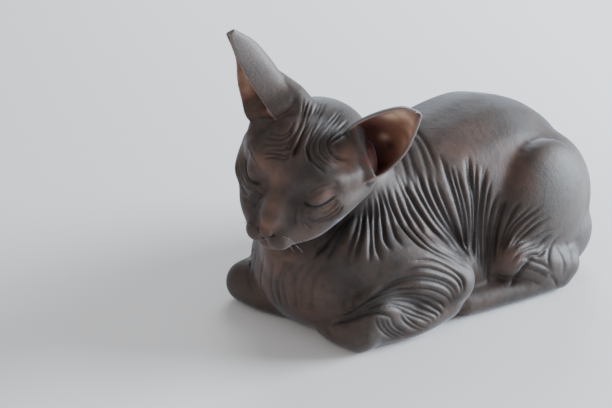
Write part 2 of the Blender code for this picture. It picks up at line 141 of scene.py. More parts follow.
# The cup of an ear: its depth from the root to the tip, how far its walls bulge, how round it is,
# the rows and columns of its sheet, and the share of its rows that its root fills
EAR_DEPTHS = (22, 22, 20, 17.5, 12, 3.5)
EAR_BULGE = 0.05
EAR_ROUNDNESS = 0.8
EAR_ROWS = 28
EAR_COLUMNS = 21
EAR_FLOOR = 0.34
# What counts as the inside of an ear: how far from its middle and from its sheet a place may lie, how
# wide the cup's floor is, and how far the floor may turn away from the tip
EAR_SPAN = 48 * MM
EAR_LINING = 2.5 * MM
EAR_FLOOR_RADIUS = 13 * MM
EAR_FLOOR_FACING = 0.2
# The colour inside an ear comes in over this depth from its sheet. At the root it leaves out this
# many rows and comes in over as many, and at the tip it comes in over these
EAR_FADE = 0.4 * MM
EAR_ROOT_ROWS = 4
EAR_TIP_ROWS = 3
# The painted bright rim of light along an ear's edge: its first row, how far it is looked for, and its half
# width
RIM_FIRST_ROW = 5
RIM_REACH = 3 * MM
RIM_WIDTH = 1.1 * MM
# The right forepaw is tucked this much further forward than the left, in millimetres
RIGHT_PAW_FORWARD = 16

# How fine an ellipsoid and a limb are, and how near two points of a limb are when they become one
ELLIPSOID_SEGMENTS = 32
LIMB_STEPS = 6
LIMB_WELD = 0.01 * MM
# The size at which the forms are fused, and the rounds of smoothing that follow
TRUNK_VOXEL = 2.5 * MM
TRUNK_ROUNDS = 20
HEAD_VOXEL = 1.1 * MM
HEAD_ROUNDS = 12
BODY_VOXEL = 1.8 * MM
BODY_ROUNDS = 8
SKIN_VOXEL = 0.65 * MM
SKIN_ROUNDS = 5
# The skin's vertices are sorted into cells of this size
CELL = 6 * MM

# The photograph's frame in pixels, and where its camera stands. The sensor is in millimetres
FRAME_WIDE = 612
FRAME_HIGH = 408
CAMERA_AZIMUTH = math.radians(52)
CAMERA_ELEVATION = math.radians(24)
CAMERA_VIEW = math.radians(27)
SENSOR = 36
CAMERA_LENS = SENSOR / 2 / math.tan(CAMERA_VIEW / 2)
CAMERA_PLACE = Vector((0.5037, -0.4698, 0.3580))

# Colours of the skin
SLATE = (0.031, 0.022, 0.0175)
TAUPE = (0.066, 0.040, 0.030)
MOTTLE = (0.019, 0.013, 0.010)
ROSY = (0.19, 0.088, 0.058)
DUSK = (0.013, 0.010, 0.009)
# Painted shade: darkens the closed eye slits, the mouth line, the cleft under the nose and the nostrils
FACE_LINE_SHADE = (0.006, 0.004, 0.003)
# Painted shade: darkens the valleys of the folds
FOLD_SHADE = (0.016, 0.009, 0.007)
EAR_DARK = (0.030, 0.005, 0.003)
# Painted rim of light: a thin bright line along the edges of the ears
RIM_LIGHT = (0.24, 0.19, 0.17)
# Inside the ears: skin colour, with a painted glow of light through the thin ear that grows towards the tip
# and in pale patches
EAR_DEEP = (0.09, 0.021, 0.013)
EAR_AMBER_AND_GLOW = (0.32, 0.15, 0.095)
EAR_PALE_GLOW = (0.66, 0.47, 0.33)
# Painted highlight: the backs of the ears grow paler towards their tips
EAR_BACK_HIGHLIGHT = (0.17, 0.145, 0.14)

# Patches of another colour: the pixel in their middle, their width in millimetres, their strength
WARM_PATCHES = [
    ((276, 176), 9, 0.9), ((272, 205), 8, 0.8), ((268, 225), 6, 1.0), ((262, 160), 9, 0.7),
    ((320, 192), 8, 0.8), ((330, 209), 5, 0.7), ((268, 246), 8, 0.8), ((310, 238), 8, 0.5),
    ((345, 160), 10, 0.8), ((298, 130), 14, 0.5), ((280, 262), 12, 0.9), ((300, 300), 18, 0.35),
    ((515, 165), 16, 0.6), ((470, 150), 22, 0.35), ((430, 225), 20, 0.3), ((505, 250), 18, 0.4),
]
DARK_PATCHES = [
    ((302, 186), 9, 0.9), ((290, 172), 7, 0.7), ((285, 190), 5, 0.5), ((312, 176), 8, 0.7),
    ((254, 200), 8, 0.6), ((296, 200), 6, 0.6), ((320, 120), 9, 0.4), ((284, 215), 5, 0.5),
]
EAR_DARK_PATCHES = [
    ((370, 143), 5, 1.0), ((378, 152), 5, 1.0), ((382, 166), 4, 0.8), ((374, 128), 5, 0.7),
    ((390, 146), 3, 0.9),
]
# Patches of painted glow inside the ears, where light comes through, partly pale skin
EAR_GLOW_PATCHES = [
    ((404, 115), 7, 1.0), ((392, 116), 5, 0.9), ((412, 122), 5, 1.0), ((411, 133), 5, 0.9),
    ((405, 144), 4, 0.6), ((402, 150), 4, 0.5), ((384, 137), 2.5, 0.6),
]

SKIN_FINISH = {
    "Roughness": 0.6,
    "Subsurface Weight": 0.12,
    "Subsurface Radius": (0.004, 0.0015, 0.0008),
    "Subsurface Scale": 1.0,
    "Sheen Weight": 0.24,
    "Sheen Roughness": 0.35,
    "Sheen Tint": (0.7, 0.85, 1.0, 1),
}

# The lights: name, place, what it aims at, size, power and colour
LIGHTS = (
    ("window", (0.72, 1.32, 0.42), (0, 0.05, 0.06), 0.8, 84, (0.80, 0.90, 1.0)),
    ("window_side", (-1.0, 0.9, 0.9), (0, 0, 0.08), 0.8, 14, (0.85, 0.93, 1.0)),
    ("front", (0.35, -1.3, 1.1), (0, -0.03, 0.06), 0.7, 3.5, (1.0, 0.92, 0.84)),
)
WORLD_COLOUR = (0.94, 0.96, 1)
WORLD_STRENGTH = 0.46
FLOOR_SIZE = 12

# The whiskers: how many a side, the places along each, their radius, how much thinner the tip is, and
# how deep they start in the skin
WHISKER_COUNT = 3
WHISKER_PLACES = 9
WHISKER_RADIUS = 0.07 * MM
WHISKER_TAPER = 0.85
WHISKER_SINK = 0.4 * MM

# How a fold is pressed: how far it reaches in half widths, the share of its length over which each
# end of a valley in a family and of a single one fades, and how far the skin may turn away from it
FOLD_REACH = 3.4
FOLD_ENDS = 0.16
SINGLE_ENDS = 0.35
FOLD_FACING = (0.1, 0.6)
# The steps in which a valley of a family and a single one are laid on the skin
FOLD_STEPS = 36
SINGLE_STEPS = 24
# A smooth line: the steps in which it is measured, the fewest steps that it has, and their length
ROUGH_STEPS = 60
FEWEST_STEPS = 4
LINE_STEP = 0.5 * MM
FACE_LINE_STEP = 0.25 * MM
# How many places on either side a normal is averaged with, and how many are compared at a time
NORMAL_NEIGHBOURS = 8
LINE_PART = 48
# The longest step along a line on one stretch of skin, and the shortest stretch that is kept, in
# metres and in places
LONGEST_STEP = 7 * MM
SHORTEST_STRETCH = 6 * MM
FEWEST_PLACES = 4
# How far a mirrored place may lie from the skin
MIRROR_REACH = 15 * MM
# How the valleys of a family differ by chance: how far they stray from their even places, where they
# start and stop, how far they sway in pixels, and how their width and depth and the depth of their
# mirror image differ
STRAY = (-0.2, 0.2)
STARTS = (0, 0.06)
STOPS = (0.9, 1)
SWAYS = (0.4, 1.3)
PHASES = (0, 6.3)
WIDTHS = (0.8, 1.2)
DEPTHS = (0.65, 1.2)
OTHER_DEPTHS = (0.8, 1.1)
# The angle that a sway turns through along a valley, and its height beside its width
SWAY_ANGLE = 5
SWAY_RISE = 0.5

# Fold families. Each has guide lines in pixels of the photograph's frame, and how many valleys run
# between its first and its last guide, with their half width and their depth in millimetres
SHOULDER = (
    [
        [(352, 213), (343, 222), (333, 234), (320, 250), (308, 263)],
        [(359, 207), (354, 220), (349, 234), (344, 251), (338, 272)],
        [(366, 200), (366, 217), (366, 236), (363, 255), (358, 272)],
        [(372, 192), (376, 210), (377, 230), (379, 250), (382, 264)],
        [(378, 186), (385, 203), (389, 220), (393, 236), (402, 250)],
        [
            (384, 176), (390, 192), (396, 207), (403, 222), (413, 236),
            (427, 248), (445, 257), (462, 267), (471, 277),
        ],
        [
            (392, 170), (399, 184), (406, 198), (412, 213), (424, 230),
            (438, 243), (455, 254), (467, 264), (473, 272),
        ],
        [
            (400, 163), (408, 178), (416, 193), (424, 207), (433, 221),
            (444, 234), (455, 246), (466, 257), (472, 266),
        ],
        [
            (414, 160), (421, 175), (427, 190), (434, 205), (442, 219),
            (451, 232), (460, 244), (468, 255), (473, 265),
        ],
        [(430, 160), (438, 187), (445, 203), (451, 217), (457, 230), (463, 243), (469, 254), (473, 264)],
    ],
    16, 1.45, 2.2,
)
FLANK = (
    [
        [(438, 150), (450, 185), (457, 205), (463, 225), (468, 245), (470, 258)],
        [(448, 160), (457, 185), (463, 205), (467, 225), (469, 245), (471, 260)],
        [(462, 150), (468, 180), (472, 200), (474, 222), (474, 245), (473, 262)],
        [(476, 155), (477, 185), (478, 205), (478, 228), (477, 250), (477, 270)],
        [(488, 165), (485, 190), (482, 212), (481, 235), (482, 258), (482, 278)],
        [(500, 186), (495, 206), (491, 228), (490, 250), (489, 270), (487, 284)],
    ],
    11, 1.2, 1.9,
)
THIGH_FAN = (
    [
        [(505, 197), (501, 208), (497, 228), (495, 245), (493, 270)],
        [(526, 199), (516, 212), (507, 228), (501, 245), (498, 266)],
        [(539, 201), (523, 217), (513, 228), (505, 243), (501, 262)],
        [(548, 206), (532, 218), (520, 230), (509, 243), (503, 260)],
        [(555, 214), (538, 223), (525, 233), (514, 243), (505, 258)],
        [(559, 225), (542, 231), (530, 238), (517, 245), (506, 260)],
        [(556, 234), (547, 237), (538, 244), (530, 246), (518, 252), (508, 264)],
        [(555, 244), (547, 250), (540, 255), (532, 255), (522, 260), (512, 271)],
    ],
    9, 1.2, 1.6,
)
ELBOW = (
    [
        [(402, 263), (418, 260), (434, 261), (451, 269), (462, 278), (465, 287), (462, 297)],
        [
            (338, 305), (364, 298), (382, 289), (400, 281), (416, 278),
            (436, 280), (451, 286), (456, 296), (453, 303),
        ],
        [
            (318, 321), (346, 315), (364, 303), (382, 296), (402, 292),
            (427, 293), (444, 300), (447, 307), (443, 314),
        ],
        [(329, 324), (360, 312), (376, 304), (391, 301), (409, 303), (427, 310), (438, 316), (436, 323)],
        [(354, 316), (378, 310), (394, 308), (409, 315), (425, 321), (432, 327)],
    ],
    10, 1.2, 1.6,
)
WRIST = (
    [
        [(402, 310), (409, 319), (420, 327), (429, 329)],
        [(387, 316), (393, 327), (402, 334), (413, 337)],
        [(373, 316), (378, 327), (387, 336), (398, 341)],
    ],
    6, 1.0, 1.2,
)
CHEST = (
    [
        [(252, 246), (248, 275), (256, 298)],
        [(272, 256), (268, 285), (276, 306)],
        [(300, 258), (286, 280), (290, 310)],
        [(326, 262), (312, 285), (312, 318)],
    ],
    9, 1.4, 0.7,
)
BROW_LEFT = (
    [
        [(304, 97), (298, 124), (291, 139), (286, 151)],
        [(315, 96), (306, 123), (299, 138), (294, 149), (289, 160)],
        [(326, 97), (314, 119), (306, 134), (301, 146), (298, 160)],
        [(335, 101), (322, 119), (314, 131), (309, 142), (308, 152), (313, 161), (321, 169), (328, 176)],
        [(342, 105), (331, 119), (322, 131), (317, 142), (317, 152), (323, 161), (332, 168)],
        [(348, 110), (339, 122), (331, 132), (325, 141), (326, 151), (333, 159), (341, 164)],
        [(350, 130), (340, 137), (331, 145), (334, 153), (343, 159), (352, 160)],
    ],
    13, 0.75, 1.5,
)
BROW_RIGHT = (
    [
        [(270, 131), (281, 134), (290, 128), (296, 119)],
        [(262, 143), (275, 144), (286, 141), (292, 134)],
        [(261, 151), (273, 150), (284, 151), (290, 147)],
        [(262, 159), (273, 157), (284, 159), (290, 156)],
    ],
    6, 0.7, 1.25,
)
LOWER_LID = (
    [
        [(305, 206), (314, 209), (324, 208), (333, 203), (339, 197)],
        [(303, 210), (312, 215), (324, 215), (335, 209), (342, 201)],
        [(302, 214), (312, 222), (325, 220), (337, 213), (344, 204)],
    ],
    5, 0.55, 0.9,
)
LID_SIDE = (
    [
        [(303, 207), (302, 216), (306, 224), (312, 228)],
        [(296, 205), (294, 215), (296, 226)],
    ],
    3, 0.6, 0.95,
)
UPPER_LID = (
    [
        [(308, 198), (318, 193), (328, 189), (337, 188)],
        [(308, 193), (318, 186), (329, 182), (339, 182)],
    ],
    2, 0.7, 0.5,
)
RIGHT_CHEEK = (
    [
        [(248, 200), (253, 192), (259, 188)],
        [(253, 207), (258, 198), (264, 193)],
    ],
    4, 0.6, 0.9,
)
# Folds across the nape and the rump, in millimetres from above
NAPE = (
    [
        [(-36, -40), (-18, -30), (2, -26), (20, -30), (36, -42)],
        [(-44, -12), (-20, -4), (0, -2), (20, -6), (42, -14)],
    ],
    5, 1.8, 1.0,
)
RUMP = (
    [
        [(-30, 104), (-14, 112), (0, 114), (14, 112), (30, 104)],
        [(-24, 114), (-10, 120), (0, 122), (10, 120), (24, 114)],
    ],
    3, 1.5, 0.8,
)
# Single folds: their pixels, their half width and their depth
SINGLE_FOLDS = [
    ([(327, 326), (340, 321), (356, 317), (373, 314), (387, 316), (394, 321)], 1.3, 2.2),
    ([(553, 274), (549, 262), (550, 250), (556, 240), (566, 234)], 1.6, 1.2),
    ([(562, 277), (564, 264), (560, 253), (554, 247)], 1.6, 0.8),
    ([(569, 270), (571, 259), (568, 247), (562, 240)], 1.8, 0.6),
    ([(524, 258), (534, 262), (545, 266), (552, 272)], 1.6, 1.2),
    ([(519, 267), (530, 270), (541, 274), (549, 280)], 1.6, 1.1),
    ([(510, 277), (522, 279), (534, 282), (543, 287)], 1.5, 0.7),
    ([(548, 274), (555, 281), (557, 292)], 1.4, 1.0),
    ([(536, 256), (526, 266), (516, 278), (508, 288)], 1.8, 1.6),
]


def new_collection(name):
    found = bpy.data.collections.new(name)
    bpy.context.scene.collection.children.link(found)
    return found


def head_matrix():
    turn = Matrix.Rotation(HEAD_TURN, 4, "Z")
    bow = Matrix.Rotation(HEAD_BOW, 4, "X")
    lean = Matrix.Rotation(HEAD_LEAN, 4, "Y")
    return Matrix.Translation(Vector(HEAD_PLACE) * MM) @ turn @ bow @ lean


def object_of(name, mesh, collection):
    obj = bpy.data.objects.new(name, mesh)
    collection.objects.link(obj)
    return obj


def mesh_of(shape, name):
    """The shape as a mesh. The shape is freed."""
    mesh = bpy.data.meshes.new(name)
    shape.to_mesh(mesh)
    shape.free()
    return mesh


def ellipsoid(centre, radii, turn=(0, 0, 0), frame=None):
    """A closed ellipsoid. centre and radii are in millimetres and turn is in degrees."""
    shape = bmesh.new()
    rings = ELLIPSOID_SEGMENTS * 2 // 3
    bmesh.ops.create_uvsphere(shape, u_segments=ELLIPSOID_SEGMENTS, v_segments=rings, radius=1.0)
    place = Matrix.Translation(Vector(centre) * MM)
    place @= Euler([math.radians(t) for t in turn]).to_matrix().to_4x4()
    place @= Matrix.Diagonal([*[r * MM for r in radii], 1.0])
    shape.transform(frame @ place if frame else place)
    return mesh_of(shape, "form")


def limb(stations, frame=None):
    """A tapered tube with round ends through stations of (x, y, z, radius), in millimetres."""
    curve = bpy.data.curves.new("limb", "CURVE")
    curve.dimensions = "3D"
    curve.resolution_u = LIMB_STEPS
    curve.bevel_depth = MM
    curve.bevel_resolution = LIMB_STEPS
    curve.use_fill_caps = True
    spline = curve.splines.new("BEZIER")
    spline.bezier_points.add(len(stations) - 1)
    for point, (x, y, z, radius) in zip(spline.bezier_points, stations):
        point.co = Vector((x, y, z)) * MM
        point.radius = radius
        point.handle_left_type = point.handle_right_type = "AUTO"
    helper = bpy.data.objects.new("limb", curve)
    bpy.context.scene.collection.objects.link(helper)
    graph = bpy.context.evaluated_depsgraph_get()
    mesh = bpy.data.meshes.new_from_object(helper.evaluated_get(graph))
    bpy.data.objects.remove(helper)
    shape = bmesh.new()
    shape.from_mesh(mesh)
    bmesh.ops.remove_doubles(shape, verts=shape.verts, dist=LIMB_WELD)
    shape.to_mesh(mesh)
    shape.free()
    if frame:
        mesh.transform(frame)
    ends = [ellipsoid(s[:3], (s[3],) * 3, frame=frame) for s in (stations[0], stations[-1])]
    return [mesh, *ends]


def mirrored(centre, radii, turn=(0, 0, 0), frame=None):
    """The ellipsoid and its mirror image on the other side of x = 0 of its frame."""
    x, y, z = centre
    a, b, c = turn
    return [
        ellipsoid(centre, radii, turn, frame),
        ellipsoid((-x, y, z), radii, (a, -b, -c), frame),
    ]


def fused(name, meshes, voxel, rounds, collection):
    """One closed body from closed meshes that overlap: a voxel remesh, then rounds of smoothing."""
    shape = bmesh.new()
    for mesh in meshes:
        shape.from_mesh(mesh)
    obj = object_of(name, mesh_of(shape, name), collection)
    remesh = obj.modifiers.new("Remesh", "REMESH")
    remesh.mode = "VOXEL"
    remesh.voxel_size = voxel
    smooth = obj.modifiers.new("Smooth", "SMOOTH")
    smooth.factor = 0.5
    smooth.iterations = rounds
    return settled(obj)


def settled(obj):
    """Applies the object's modifiers and returns it."""
    graph = bpy.context.evaluated_depsgraph_get()
    mesh = bpy.data.meshes.new_from_object(obj.evaluated_get(graph))
    obj.modifiers.clear()
    obj.data = mesh
    return obj


def trunk_forms():
    top = BACK_HEIGHT
    wide = TORSO_RADIUS
    spine = [
        (0, -76, 46, 26),
        (0, -52, 51, 36),
        (0, -20, 53, 45),
        (0, 18, 57, 50),
        (0, 50, top - wide - 1, wide + 1),
        (0, 76, 54, 45),
        (0, 92, 42, 36),
    ]
    forms = limb(spine)
    forms += [ellipsoid((-4, -73, 32), (42, 25, 33)), ellipsoid((0, 18, 27), (54, 68, 32))]
    forms += mirrored((22, -38, 68), (15, 26, 22))
    forms += mirrored((28, 75, 45), (32, 42, 45)) + mirrored((31, 81, 25), (28, 36, 27))
    forms += limb([(0, -38, 64, 31), (2, -50, 80, 28), (4, -58, 96, 25)])
    return forms


def foreleg_forms(side, forward):
    s, f = side, forward
    forms = limb([(s * 28, -62, 50, 21), (s * 42, -38, 40, 21), (s * 50, -15, 28, 16)])
    forms += [ellipsoid((s * 38, -44, 24), (17, 36, 24), (0, 0, s * 20))]
    forms += limb([(s * 50, -18, 16, 12), (s * 48, -38, 13, 13), (s * 41, -68 - f, 13, 13)])
    forms += limb([(s * 42, -71 - f, 12, 13), (s * 29, -76 - 0.7 * f, 11, 11), (s * 13, -74 - 0.5 * f, 9, 9)])
    return forms


def hindleg_forms(side):
    s = side
    forms = [
        ellipsoid((s * 46, 60, 46), (20, 38, 46), (-8, 0, 0)),
        ellipsoid((s * 45, 79, 26), (17, 30, 24)),
    ]
    forms += limb([(s * 52, 32, 32, 14), (s * 56, 52, 22, 15), (s * 58, 70, 16, 13)])
    forms += limb([(s * 60, 68, 9, 9), (s * 56, 34, 8, 8), (s * 50, 0, 8, 8)])
    return forms


def head_forms():
    frame = head_matrix()
    half = HEAD_WIDTH / 2
    forms = [
        ellipsoid((0, 7, 0), (30, 31.5, 25), frame=frame),
        ellipsoid((0, -10, 9), (25, 26, 18), frame=frame),
        ellipsoid((0, -20, -12), (19, 25, 15), frame=frame),
    ]
    forms += mirrored((half - 14, -10, -3), (12, 16, 10), (0, 0, 12), frame)
    for side in (1, -1):
        cheekbone = [(side * 13, -33, -9, 8), (side * 25, -21, -5, 9), (side * 32, -4, -2, 7)]
        brow = [(side * 7, -29, 7, 8), (side * 19, -25, 8, 7), (side * 28, -14, 8, 7)]
        muzzle = [(side * 6.5, -42, -20, 8), (side * 16, -31, -17.5, 9), (side * 23, -18, -11, 9)]
        jaw = [(0, -37, -26, 7), (side * 9, -26, -22.5, 8), (side * 15, -13, -13, 8)]
        for line in (cheekbone, brow, jaw, muzzle):
            forms += limb(line, frame=frame)
    forms += mirrored(EYE_PLACE, (EYE_RADIUS + LID_THICKNESS,) * 3, frame=frame)
    forms += [
        ellipsoid((23, -3, 13), (9, 10, 13), frame=frame),
        ellipsoid((28, -6, 4), (8, 10, 12), frame=frame),
        ellipsoid((-27, -5, 9), (9, 12.5, 12), frame=frame),
        *limb([(-10, 6, 19, 9), (-19, 7, 27, 8), (-28, 6, 38, 3)], frame),
    ]
    forms += limb([(0, -22, 5, 11.5), (0, -35, -3, 9.3), (0, -45.5, -12.7, 6.4)], frame=frame)
    return forms


def head_details():
    frame = head_matrix()
    forms = [
        ellipsoid((0, -40, -28.5), (8.5, 8.0, 6), frame=frame),
        ellipsoid((0, -49.8, -17), (4.3, 3.4, 3.0), (-20, 0, 0), frame),
    ]
    forms += mirrored((6.4, -43.6, -21.5), (7.2, 8.6, 6.6), (0, 0, -14), frame)
    return forms


def shaped(obj):
    """Raises and hollows the face of the object softly, on both sides."""
    mesh, frame = obj.data, head_matrix()
    places = np.empty(3 * len(mesh.vertices))
    normals = places.copy()
    mesh.vertices.foreach_get("co", places)
    mesh.vertices.foreach_get("normal", normals)
    places, normals = places.reshape(-1, 3), normals.reshape(-1, 3)
    push = np.zeros(len(places))
    for x, y, z, wide, out in FACE_SHAPING:
        for side in (1, -1) if x else (1,):
            centre = np.array(frame @ (Vector((side * x, y, z)) * MM))
            gap = ((places - centre) ** 2).sum(1) / (wide * MM) ** 2
            push += out * MM * np.exp(-gap)
    mesh.vertices.foreach_set("co", (places + normals * push[:, None]).ravel())
    mesh.update()
    return obj


def along_line(points, share):
    """The place at this share of a smooth line through the points, each a Vector."""
    place = share * (len(points) - 1)
    i = min(int(place), len(points) - 2)
    t = place - i
    before = points[max(i - 1, 0)]
    after = points[min(i + 2, len(points) - 1)]
    a, b = points[i], points[i + 1]
    slope_a, slope_b = (b - before) * 0.5, (after - a) * 0.5
    return (
        a * (2 * t**3 - 3 * t**2 + 1)
        + slope_a * (t**3 - 2 * t**2 + t)
        + b * (3 * t**2 - 2 * t**3)
        + slope_b * (t**3 - t**2)
    )


def ear_rows(side, inner, outer, back):
    """Rows of points across an ear that is cupped between its inner and its outer edge."""
    inner = [Vector(p) for p in inner]
    outer = [Vector(p) for p in outer]
    depths = [Vector((d, 0, 0)) for d in EAR_DEPTHS]
    back = Vector(back).normalized()
    rows = []
    for i in range(EAR_ROWS):
        along = i / (EAR_ROWS - 1)
        a, b = along_line(inner, along), along_line(outer, along)
        depth = along_line(depths, along).x
        row = []
        for j in range(EAR_COLUMNS):
            angle = math.pi * j / (EAR_COLUMNS - 1)
            wide = -math.cos(angle) * (1 + EAR_BULGE * math.sin(angle))
            point = (a + b) / 2 + (b - a) / 2 * wide
            point += back * (depth * math.sin(angle) ** EAR_ROUNDNESS)
            row.append(Vector((side * point.x, point.y, point.z)) * MM)
        rows.append(row)
    return rows


def sheet_of(rows):
    """A sheet of faces through the rows of points, and its vertices in rows."""
    shape = bmesh.new()
    grid = [[shape.verts.new(point) for point in row] for row in rows]
    for upper, lower in zip(grid, grid[1:]):
        for j in range(len(upper) - 1):
            shape.faces.new((upper[j], upper[j + 1], lower[j + 1], lower[j]))
    return shape, grid


def ear_forms(side, inner, outer, back, root, name, collection):
    """An ear: a thin cupped sheet, with a solid root that fills the bottom of its cup."""
    rows = ear_rows(side, inner, outer, back)
    shape, _ = sheet_of(rows)
    bmesh.ops.recalc_face_normals(shape, faces=shape.faces)
    shape.transform(head_matrix())
    obj = object_of(name, mesh_of(shape, name), collection)
    thick = obj.modifiers.new("Solidify", "SOLIDIFY")
    thick.thickness = EAR_THICKNESS * MM
    thick.offset = 0
    sheet = settled(obj).data
    shape, grid = sheet_of(rows[: int(EAR_ROWS * EAR_FLOOR)])
    for upper, lower in zip(grid, grid[1:]):
        shape.faces.new((upper[-1], upper[0], lower[0], lower[-1]))
    shape.faces.new(grid[0])
    shape.faces.new(grid[-1])
    bmesh.ops.recalc_face_normals(shape, faces=shape.faces)
    shape.transform(head_matrix())
    plug = mesh_of(shape, name + "_root")
    base = limb([(side * x, y, z, r) for x, y, z, r in root], frame=head_matrix())
    return [sheet, plug, *base]


def tail_stations():
    """The tail, from the rump to the floor and forward along the right side."""
    return [
        (-4, 106, 34, TAIL_ROOT_RADIUS + 1.5),
        (-20, 117, 17, TAIL_ROOT_RADIUS),
        (-42, 118, 7.5, 7),
        (-62, 102, 6.2, 6.6),
        (-75, 80, 5.8, 6.1),
        (-81, 54, 5.3, 5.6),
        (-81, 26, 4.8, 5.1),
        (-76, 0, 4.2, 4.5),
        (-67, -22, 3.4, 3.7),
        (-59, -36, 2.2, TAIL_TIP_RADIUS),
    ]


def camera_axes():
    """The directions to the right of the camera, above it and behind it."""
    a, e = CAMERA_AZIMUTH, CAMERA_ELEVATION
    back = Vector((math.sin(a) * math.cos(e), -math.cos(a) * math.cos(e), math.sin(e)))
    right = Vector((math.cos(a), math.sin(a), 0))
    return right, back.cross(right), back


def add_camera():
    data = bpy.data.cameras.new("camera")
    data.lens = CAMERA_LENS
    data.clip_start = 0.05
    camera = bpy.data.objects.new("camera", data)
    bpy.context.scene.collection.objects.link(camera)
    right, up, back = camera_axes()
    turn = Matrix((right, up, back)).transposed()
    camera.matrix_world = Matrix.Translation(CAMERA_PLACE) @ turn.to_4x4()
    bpy.context.scene.camera = camera


def ray_through(pixel):
    """The direction from the camera through a pixel of the photograph's frame."""
    right, up, back = camera_axes()
    reach = FRAME_WIDE / SENSOR * CAMERA_LENS
    x, y = pixel
    way = right * (x - FRAME_WIDE / 2) - up * (y - FRAME_HIGH / 2) - back * reach
    return way.normalized()


def skin_base(collection):
    """The whole cat as one fine closed surface."""
    trunk = fused("trunk", trunk_forms(), TRUNK_VOXEL, TRUNK_ROUNDS, collection)
    head = fused("head_form", head_forms(), HEAD_VOXEL, HEAD_ROUNDS, collection)
    limbs = [trunk.data, head.data, *limb(tail_stations())]
    limbs += foreleg_forms(1, 0) + foreleg_forms(-1, RIGHT_PAW_FORWARD)
    limbs += hindleg_forms(1) + hindleg_forms(-1)
    body = fused("body", limbs, BODY_VOXEL, BODY_ROUNDS, collection)
    details = [body.data, *head_details()]
    details += ear_forms(1, *EAR_LEFT, "ear_left_sheet", collection)
    details += ear_forms(-1, *EAR_RIGHT, "ear_right_sheet", collection)
    skin = shaped(fused("skin", details, SKIN_VOXEL, SKIN_ROUNDS, collection))
    for obj in (trunk, head, body):
        bpy.data.objects.remove(obj)
    for name in ("ear_left_sheet", "ear_right_sheet"):
        bpy.data.objects.remove(bpy.data.objects[name])
    return skin


class Surface:
    """The skin's vertices, their normals and what is pressed into them."""

    def __init__(self, obj):
        self.mesh = obj.data
        count = len(self.mesh.vertices)
        places = np.empty(count * 3)
        self.mesh.vertices.foreach_get("co", places)
        self.places = places.reshape(-1, 3)
        normals = np.empty(count * 3, np.float32)
        self.mesh.vertex_normals.foreach_get("vector", normals)
        self.normals = normals.reshape(-1, 3).astype(float)
        self.press = np.zeros(count)
        shape = bmesh.new()
        shape.from_mesh(self.mesh)
        self.tree = BVHTree.FromBMesh(shape)
        shape.free()
        keys = np.floor(self.places / CELL).astype(np.int64)
        self.low = keys.min(0)
        self.span = keys.max(0) - self.low + 1
        codes = self.code(keys)
        self.order = np.argsort(codes, kind="stable")
        self.codes = codes[self.order]

    def code(self, keys):
        """One number for each cell."""
        k = keys - self.low
        return (k[:, 0] * self.span[1] + k[:, 1]) * self.span[2] + k[:, 2]

    def near(self, points, reach):
        """The vertices in the cells around the points."""
        steps = int(math.ceil(reach / CELL))
        keys = np.unique(np.floor(points / CELL).astype(np.int64), axis=0)
        side = np.arange(-steps, steps + 1)
        shifts = np.stack(np.meshgrid(side, side, side), -1).reshape(-1, 3)
        around = np.unique((keys[:, None] + shifts[None]).reshape(-1, 3), axis=0)
        inside = ((around >= self.low) & (around < self.low + self.span)).all(1)
        codes = self.code(around[inside])
        first = np.searchsorted(self.codes, codes, "left")
        last = np.searchsorted(self.codes, codes, "right")
        parts = [self.order[a:b] for a, b in zip(first, last) if b > a]
        return np.concatenate(parts) if parts else np.empty(0, np.int64)

    def normals_at(self, points):
        """The skin's normals along a line, each the mean of its neighbours'."""
        found = np.array([self.tree.find_nearest(Vector(p))[1] for p in points])
        side = NORMAL_NEIGHBOURS
        padded = np.pad(found, ((side, side), (0, 0)), mode="edge")
        count = 2 * side + 1
        return sum(padded[k : k + len(found)] for k in range(count)) / count

    def seen(self, pixel):
        """Where the camera sees the skin through a pixel, or None."""
        return self.tree.ray_cast(CAMERA_PLACE, ray_through(pixel))[0]

    def below(self, point):
        """The highest skin below a point given in millimetres, or None."""
        above = Vector((point[0], point[1], 2 * BACK_HEIGHT)) * MM
        return self.tree.ray_cast(above, Vector((0, 0, -1)))[0]

    def moved(self):
        """Moves the skin by what was pressed into it, but not below the floor, and keeps the folds."""
        self.places += self.normals * self.press[:, None]
        self.places[:, 2] = np.maximum(self.places[:, 2], 0)
        # How deep each fold is pressed, kept for the painted shade in its valleys
        fold = self.mesh.attributes.new("fold", "FLOAT", "POINT")
        fold.data.foreach_set("value", -self.press / MM)
        self.mesh.vertices.foreach_set("co", self.places.ravel())
        self.mesh.update()


def smooth_line(points, step=LINE_STEP):
    """A dense smooth line through the points."""
    points = [Vector(p) for p in points]
    rough = [along_line(points, t / ROUGH_STEPS) for t in range(ROUGH_STEPS + 1)]
    length = sum((b - a).length for a, b in zip(rough, rough[1:]))
    count = max(FEWEST_STEPS, int(length / step))
    return np.array([along_line(points, t / count) for t in range(count + 1)])


def press_line(surface, line, width, depth, ends=FOLD_ENDS):
    """Presses a fold's valley into the skin along a line. It fades towards both ends."""
    reach = FOLD_REACH * width
    ids = surface.near(line, reach)
    if not len(ids):
        return
    spots = surface.places[ids]
    best = np.full(len(ids), np.inf)
    where = np.zeros(len(ids), int)
    for start in range(0, len(line), LINE_PART):
        part = line[start : start + LINE_PART]
        gaps = np.linalg.norm(spots[:, None] - part[None], axis=2)
        nearest = gaps.argmin(1)
        gap = gaps[np.arange(len(ids)), nearest]
        closer = gap < best
        best[closer] = gap[closer]
        where[closer] = start + nearest[closer]
    close = best < reach
    ids, best, where = ids[close], best[close], where[close]
    along = where / (len(line) - 1)
    fade = np.clip(np.minimum(along, 1 - along) / ends, 0, 1)
    fade = fade * fade * (3 - 2 * fade)
    facing = (surface.normals[ids] * surface.normals_at(line)[where]).sum(1)
    turned, faced = FOLD_FACING
    fade *= np.clip((facing - turned) / (faced - turned), 0, 1)
    edge = np.clip((reach - best) / width, 0, 1)
    shape = (1 + (best / width) ** 2) ** -1.5 * edge
    np.add.at(surface.press, ids, -depth * shape * fade)


